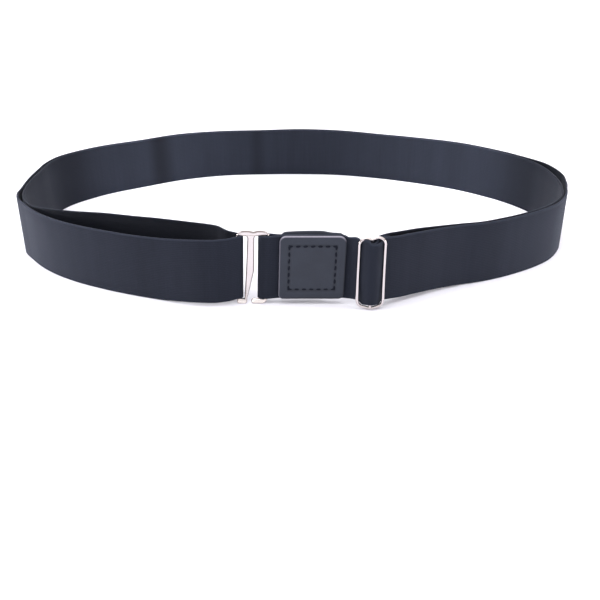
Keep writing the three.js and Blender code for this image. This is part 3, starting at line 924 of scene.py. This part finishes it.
def slider_outline(settings):
    """Right half of the wire's middle line, from the middle of the lower bar to the V."""
    half = (SLIDER_HIGH.x - SLIDER_LOW.x - settings.wire) / 2
    low = SLIDER_LOW.z + settings.wire / 2
    high = SLIDER_HIGH.z - settings.wire / 2
    lower, upper = settings.lower_corner, settings.corner
    straight = half - lower
    points = [(straight * k / 6, low + settings.sag * (k / 6) ** 2) for k in range(6)]
    points += arc(straight, low + settings.sag + lower, lower, -90, 0, 10)
    bend, top = low + settings.sag + lower, high - upper
    points += [(half, lerp(bend, top, k / 8)) for k in range(1, 8)]
    points += arc(half - upper, high - upper, upper, 0, 100, 10)
    points += [(V_SIDE[0], high - settings.notch * V_SIDE[1]), (0.0, high - settings.notch)]
    return points


def make_slider(settings):
    """The paths of the slider's frame and of its centre bar."""
    half = slider_outline(settings)
    mirrored = [(-x, z) for x, z in reversed(half[1:-1])]
    middle_x = SLIDER_X + SLIDER_OFFSET

    def placed(x, z):
        low = 1 - smooth_share(z, SLIDER_LOW.z, SLIDER_HIGH.z / 2)
        left_hump = smooth_share(-x, *LEFT_HUMP_ASIDE) * smooth_share(z, *LEFT_HUMP_HEIGHTS)
        return Vector((middle_x + x, SLIDER_Y - settings.lean * low,
                       z - LEFT_HUMP_DROP * left_hump))

    loop = [placed(x, z) for x, z in half + mirrored]
    edges = [(k, (k + 1) % len(loop)) for k in range(len(loop))]
    low_end, high_end = half[0][1], half[-1][1]
    bar = [placed(0.0, lerp(low_end, high_end, k / 8)) for k in range(9)]
    bar_edges = [(k, k + 1) for k in range(8)]
    return [path_object("slider_frame", loop, edges), path_object("slider_bar", bar, bar_edges)]


# Hook clasp

def clasp_outline():
    """The clasp's outline and its slot, as closed lists of points in x and height."""
    left, right = HOOK_LOW.x, HOOK_HIGH.x
    top = HOOK_HIGH.z + 0.3 * MM
    middle = left + 6.1 * MM
    plate = 1.4 * MM
    wide = 1.7 * MM
    foot = 1.9 * MM
    bar = 1.5 * MM
    slot_top = top - 2.35 * MM
    neck = foot + 13.6 * MM
    ankle = middle - 2.1 * MM
    corner = 1.3 * MM
    toe = 3.2 * MM
    tip = ankle + 2.6 * MM
    nose = foot / 2
    leg = 2.3 * MM

    def soft_corner(x, side):
        """Where the plate's edge at x turns into the bar above it, to the left or the right."""
        return [(x, slot_top - 1.0 * MM), (x + side * 0.3 * MM, slot_top - 0.3 * MM),
                (x + side * 1.0 * MM, slot_top)]

    outer = [(left + corner, 0.0), (ankle + 0.1 * MM, 0.0), (ankle + 0.72 * MM, 0.5 * MM),
             (ankle + 0.85 * MM, foot), (middle + wide, neck)]
    outer += soft_corner(middle + wide, 1)
    outer += [(right - leg, slot_top), (right - leg, foot)]
    outer += arc(tip + nose, nose, nose, 90, 270, 8)
    outer += arc(right - toe, toe, toe, -90, 0, 8)
    outer += [(left + x, top - drop) for x, drop in reversed(HOOK_CROWN)]
    outer += arc(left + corner, corner, corner, 180, 260, 6)
    slot = [(left + bar, foot), (left + bar, slot_top)]
    slot += reversed(soft_corner(middle - plate, -1))
    slot += [(middle - plate - 0.5 * MM, neck), (ankle - 0.5 * MM, foot)]
    return outer, slot


def make_clasp():
    thickness = HOOK_HIGH.y - HOOK_LOW.y
    curve = bpy.data.curves.new("clasp_plate", "CURVE")
    curve.dimensions = "2D"
    curve.fill_mode = "BOTH"
    curve.bevel_depth = HOOK_ROUNDING
    curve.bevel_resolution = 3
    curve.offset = -HOOK_ROUNDING
    curve.extrude = thickness / 2 - HOOK_ROUNDING
    for outline in clasp_outline():
        spline = curve.splines.new("POLY")
        spline.points.add(len(outline) - 1)
        spline.use_cyclic_u = True
        for point, (x, z) in zip(spline.points, outline):
            point.co = (x, z, 0, 1)
    plate = baked(link_object("clasp_plate", curve))
    for vertex in plate.data.vertices:
        x, z, depth = vertex.co
        curl = FOOT_CURL * (1 - smooth_share(z, *FOOT_CURL_SPAN))
        vertex.co = (x, HOOK_Y - depth - curl, z)
    face_outwards(plate.data)
    face = thickness / 2 - 0.01 * MM
    rim = []
    for vertex in plate.data.vertices:
        x, y, z = vertex.co
        on_rim = z > 3 * MM and abs(y - HOOK_Y) < face
        from_end = min(x - HOOK_LOW.x, HOOK_HIGH.x - x)
        # The punched edges' own brown, made browner on the left-facing ones as painted shade
        share = RIM_TONE - RIM_LEFT_SHADE * vertex.normal.x
        rim.append(share * smooth_share(from_end, 1 * MM, 2.6 * MM) if on_rim else 0.0)
    attribute(plate.data, "rim", rim)
    shade(plate.data)
    return plate


# Patches

def patch_ring(width, height, radius, inset):
    """Rounded rectangle at an inset from the patch's edge, about its middle."""
    half_x = width / 2 - inset
    half_z = height / 2 - inset
    corners = []
    for quarter, share in enumerate(PATCH_CORNERS):
        round_by = max(radius * share - inset, 0.25 * MM)
        centre_x = (half_x - round_by) * (1 if quarter in (0, 3) else -1)
        centre_z = (half_z - round_by) * (1 if quarter in (0, 1) else -1)
        corners.append(arc(centre_x, centre_z, round_by, 90 * quarter, 90 * quarter + 90,
                           PATCH_RING_CORNER))
    points = []
    for quarter, corner in enumerate(corners):
        start, end = corner[-1], corners[(quarter + 1) % 4][0]
        run = [(lerp(start[0], end[0], k / PATCH_RING_SIDE),
                lerp(start[1], end[1], k / PATCH_RING_SIDE))
               for k in range(1, PATCH_RING_SIDE)]
        points += corner + run
    return points


def leather_rise(inset, seam):
    """How far the leather's face stands above its plain level, at an inset from its edge."""
    groove = math.exp(-((inset - seam) / (0.55 * MM)) ** 2)
    rim = window(inset, 0, 2.4 * MM, seam - 2 * MM, seam)
    pillow = smooth_share(inset, seam, seam + 5 * MM)
    return RIM_RISE * rim + PILLOW_RISE * pillow - SEAM_GROOVE * groove


def patch_layers(half, seam):
    """Inset and level of each ring, from the middle of the face round the edge to the back, and
    how many of them lie on the face."""
    insets = [PATCH_BEVEL, 0.6 * MM, 1.2 * MM, 2 * MM, 3 * MM]
    insets += [seam + k * 0.25 * MM for k in range(-4, 5)]
    insets += [seam + (1 + k) * 1.35 * MM for k in range(1, 6)]
    layers = [(inset, half) for inset in reversed(insets)]
    layers += [(PATCH_BEVEL * (1 - math.sin(math.radians(a))),
                half - PATCH_BEVEL * (1 - math.cos(math.radians(a)))) for a in (30, 60, 90)]
    layers += [(0.0, 0.0), (0.0, -half + PATCH_BEVEL), (PATCH_BEVEL, -half)]
    layers += [(2 * MM, -half), (seam, -half), (seam + 7 * MM, -half)]
    return layers, len(insets)


def make_patch(name, settings, box_low, box_high, facing, middle_y):
    """A leather patch; middle_y gives the place of its middle layer at each x and height."""
    width, height = box_high.x - box_low.x, box_high.z - box_low.z
    seam = (width - settings.seam_side) / 2
    half = settings.thickness / 2
    layers, face_count = patch_layers(half, seam)
    points = []
    cut = []
    pressed = []
    for place, (inset, level) in enumerate(layers):
        on_face = place < face_count
        edge = 1.0 if (not on_face or inset <= PATCH_BEVEL) and level > -0.1 * MM else 0.0
        away = facing * (level + (leather_rise(inset, seam) if on_face else 0.0))
        in_seam = math.exp(-((inset - seam) / (0.6 * MM)) ** 2) if on_face else 0.0
        for x, z in patch_ring(width, height, settings.corner, inset):
            points.append((PATCH_X + x, middle_y(PATCH_X + x, PATCH_Z + z) + away, PATCH_Z + z))
            # Painted highlight on the front patch's cut edge along its top and left; painted shade
            # along the bottom, in the seam's groove and on the other edges
            highlight_side = smooth_share(z, height / 2 - 3 * MM, height / 2)
            highlight_side = max(highlight_side, 0.45 * smooth_share(-x, width / 2 - 3 * MM, width / 2))
            cut.append(edge * highlight_side * (1.0 if facing < 0 else 0.0))
            low_edge = smooth_share(-z, height / 2 - 2 * MM, height / 2)
            pressed.append(max(0.5 * low_edge, 0.45 * in_seam, 0.8 * edge * (1 - highlight_side)))
    size = len(points) // len(layers)
    faces = ring_faces(len(layers), size)
    # The middles of the face and of the back
    centre = len(points)
    for level in (half + PILLOW_RISE, -half):
        points.append((PATCH_X, middle_y(PATCH_X, PATCH_Z) + facing * level, PATCH_Z))
        cut.append(0.0)
        pressed.append(0.0)
    last = (len(layers) - 1) * size
    faces += [((k + 1) % size, k, centre) for k in range(size)]
    faces += [(last + k, last + (k + 1) % size, centre + 1) for k in range(size)]
    mesh = mesh_from(name, points, faces)
    attribute(mesh, "cut_edge", cut)
    attribute(mesh, "pressed", pressed)
    face_outwards(mesh)
    mesh.materials.append(shared_material("patch_leather", leather_material, settings))
    return link_object(name, mesh)


def front_middle(x, z):
    return (FRONT_LOW.y + FRONT_HIGH.y) / 2


def back_middle(x, z):
    """The back patch lies on the strap's folded end, steps down past it and bows at its top."""
    half = (FRONT_HIGH.y - FRONT_LOW.y) / 2
    on_fold = BACK_HIGH.y - half
    on_strap = BACK_LOW.y + half
    step = smooth_share(x - PATCH_X, *BACK_STEP)
    upper = smooth_share(z, PATCH_Z, BACK_HIGH.z)
    across = math.cos((x - PATCH_X) / (BACK_HIGH.x - BACK_LOW.x) * math.pi)
    return lerp(on_fold, on_strap, step) + BACK_BOW * upper * max(0.0, across)


def seam_path(name, side, surface_y):
    """The four sides of the stitched square, each as one edge between its end stitches."""
    half = side / 2
    reach = half - 0.5 * MM
    ends = [(-reach, half), (reach, half), (half, reach), (half, -reach),
            (reach, -half), (-reach, -half), (-half, -reach), (-half, reach)]
    points = [(PATCH_X + x, surface_y(PATCH_X + x, PATCH_Z + z), PATCH_Z + z) for x, z in ends]
    return path_object(name, points, [(0, 1), (2, 3), (4, 5), (6, 7)])


def tail_seam(name, half_thickness):
    """The row of stitches through the strap's end behind the slider, and the way that it faces."""
    route = smooth_route(strap_stations())
    middles = [(low + high) / 2 for low, high in route]
    place = len(route) - 1
    while middles[place].x > SLIDER_X:
        place -= 1
    while middles[place].x < middles[-1].x - TAIL_SEAM_INSET:
        place -= 1
    along = (middles[place + 1] - middles[place - 1]).normalized()
    facing = Vector((along.y, -along.x, 0))
    low, high = route[place]
    ends = [lerp(low, high, share) + facing * half_thickness for share in (0.1, 0.9)]
    return path_object(name, ends, [(0, 1)]), facing


# Operators

class SHIRTSTAY_OT_strap(bpy.types.Operator):
    """Builds the elastic strap along its packed route"""
    bl_idname = "shirtstay.strap"
    bl_label = "Elastic Strap"

    def execute(self, context):
        settings = context.scene.stay_strap
        strap = make_strap(settings, context.scene.stay_metal)
        settle(strap, ["elastic_strap"])
        return {"FINISHED"}


class SHIRTSTAY_OT_metal(bpy.types.Operator):
    """Builds the hook clasp and the wire slider"""
    bl_idname = "shirtstay.metal"
    bl_label = "Clasp and Slider"

    def execute(self, context):
        settings = context.scene.stay_metal
        nickel = shared_material("bright_nickel", nickel_material, settings)
        plate = make_clasp()
        plate.data.materials.append(nickel)
        settle(plate, ["hook_clasp"])
        values = {"Wire Diameter": settings.wire, "Sides": WIRE_SIDES, "Metal": nickel}
        parts = [run_tree(part, wire_tree(), values) for part in make_slider(settings)]
        for part in parts:
            shade(part.data)
            face_outwards(part.data)
            settle(part, ["slider"])
        return {"FINISHED"}


class SHIRTSTAY_OT_patches(bpy.types.Operator):
    """Builds the two leather patches, with the groove of their seam"""
    bl_idname = "shirtstay.patches"
    bl_label = "Leather Patches"

    def execute(self, context):
        settings = context.scene.stay_patch
        sides = (
            ("patch_leather_front", "patch_front", FRONT_LOW, FRONT_HIGH, -1, front_middle),
            ("patch_leather_back", "patch_back", BACK_LOW, BACK_HIGH, 1, back_middle),
        )
        for name, node, low, high, facing, middle in sides:
            patch = make_patch(name, settings, low, high, facing, middle)
            settle(patch, [node])
        return {"FINISHED"}


class SHIRTSTAY_OT_stitches(bpy.types.Operator):
    """Sews the square on both patches and the row at the strap's end by the slider"""
    bl_idname = "shirtstay.stitches"
    bl_label = "Stitches"

    def execute(self, context):
        settings = context.scene.stay_patch
        thread = shared_material("sewing_thread", thread_material, settings)
        half = settings.thickness / 2

        def front_surface(x, z):
            return front_middle(x, z) - half + STITCH_SINK

        def back_surface(x, z):
            return back_middle(x, z) + half - STITCH_SINK

        front = seam_path("patch_stitches_front", settings.seam_side, front_surface)
        back = seam_path("patch_stitches_back", settings.seam_side, back_surface)
        tail, tail_facing = tail_seam("strap_stitches", context.scene.stay_strap.thickness / 2)
        rows = (
            (front, settings.stitches, (0.0, -1.0, 0.0), "leather"),
            (back, settings.stitches, (0.0, 1.0, 0.0), "leather"),
            (tail, TAIL_STITCHES, tuple(tail_facing), "elastic"),
        )
        for seed, (path, stitches, facing, slot) in enumerate(rows):
            row = run_tree(path, stitch_tree(), {
                "Stitches": stitches,
                "Stitch Length": settings.stitch_length,
                "Thread Radius": settings.thread_radius,
                "Facing": facing,
                "Wander": STITCH_WANDER,
                "Seed": seed,
                "Thread": thread,
            })
            face_outwards(row.data)
            settle(row)
        return {"FINISHED"}


class SHIRTSTAY_OT_stage(bpy.types.Operator):
    """Makes the camera, the white floor and the soft studio light"""
    bl_idname = "shirtstay.stage"
    bl_label = "Stage"

    def execute(self, context):
        settings = context.scene.stay_stage
        scene = context.scene
        view = bpy.data.cameras.new("photo_view")
        view.sensor_width = CAMERA_SENSOR
        view.lens = CAMERA_LENS
        camera = link_object("photo_view", view)
        camera.location = (HOOK_X + CAMERA_FROM_CLASP[0], HOOK_Y + CAMERA_FROM_CLASP[1],
                           CAMERA_HEIGHT)
        camera.rotation_euler = (math.pi / 2 - CAMERA_DOWN, 0.0, 0.0)
        scene.camera = camera

        reach = settings.floor_size / 2
        corners = [(x * reach, y * reach, FLOOR_LEVEL)
                   for x, y in ((-1, -1), (1, -1), (1, 1), (-1, 1))]
        floor = link_object("floor", mesh_from("floor", corners, [(0, 1, 2, 3)], False))
        floor.data.materials.append(floor_material())

        world = bpy.data.worlds.new("studio")
        world.use_nodes = True
        tree = world.node_tree
        sky = tree.nodes["Background"]
        direction = tree.nodes.new("ShaderNodeTexCoord").outputs["Generated"]
        parts = put(tree, "ShaderNodeSeparateXYZ", Vector=direction)
        height = put(tree, "ShaderNodeMapRange", interpolation_type="SMOOTHSTEP",
                     Value=parts.outputs[2], From_Min=SKY_RISE[0], From_Max=SKY_RISE[1])
        colour = tint(tree, height.outputs[0], settings.low_sky, settings.high_sky)
        plug(tree, settings.world_strength, sky.inputs["Strength"])
        plug(tree, colour, sky.inputs["Color"])
        scene.world = world
        scene.view_settings.view_transform = "Standard"

        for name, place, aim, width, beam, share in LAMPS:
            lamp = bpy.data.lights.new(name, "AREA")
            lamp.energy = settings.key_power * share
            lamp.size = width
            lamp.spread = beam
            lamp.color = LAMP_COLOUR
            made = link_object(name, lamp)
            made.location = place
            made.rotation_mode = "QUATERNION"
            made.rotation_quaternion = (Vector(aim) - Vector(place)).to_track_quat("-Z", "Y")
        return {"FINISHED"}


class SHIRTSTAY_PT_panel(bpy.types.Panel):
    """Lists the shirt stay's pieces and their settings"""
    bl_idname = "SHIRTSTAY_PT_panel"
    bl_label = "Shirt Stay"
    bl_space_type = "VIEW_3D"
    bl_region_type = "UI"
    bl_category = "Shirt Stay"

    def draw(self, context):
        groups = (
            ("stay_stage", (SHIRTSTAY_OT_stage,)),
            ("stay_metal", (SHIRTSTAY_OT_metal,)),
            ("stay_strap", (SHIRTSTAY_OT_strap,)),
            ("stay_patch", (SHIRTSTAY_OT_patches, SHIRTSTAY_OT_stitches)),
        )
        for name, operators in groups:
            settings = getattr(context.scene, name)
            box = self.layout.box()
            for field in settings.__annotations__:
                box.prop(settings, field)
            for operator in operators:
                box.operator(operator.bl_idname)


SETTINGS = {
    "stay_strap": StrapSettings,
    "stay_patch": PatchSettings,
    "stay_metal": MetalSettings,
    "stay_stage": StageSettings,
}
CLASSES = (
    *SETTINGS.values(),
    SHIRTSTAY_OT_strap,
    SHIRTSTAY_OT_metal,
    SHIRTSTAY_OT_patches,
    SHIRTSTAY_OT_stitches,
    SHIRTSTAY_OT_stage,
    SHIRTSTAY_PT_panel,
)


def register():
    for cls in CLASSES:
        bpy.utils.register_class(cls)
    for name, group in SETTINGS.items():
        setattr(bpy.types.Scene, name, bpy.props.PointerProperty(type=group))


def unregister():
    for name in SETTINGS:
        delattr(bpy.types.Scene, name)
    for cls in reversed(CLASSES):
        bpy.utils.unregister_class(cls)


def main():
    register()
    bpy.ops.shirtstay.stage()
    bpy.ops.shirtstay.metal()
    bpy.ops.shirtstay.strap()
    bpy.ops.shirtstay.patches()
    bpy.ops.shirtstay.stitches()


if __name__ == "__main__":
    main()
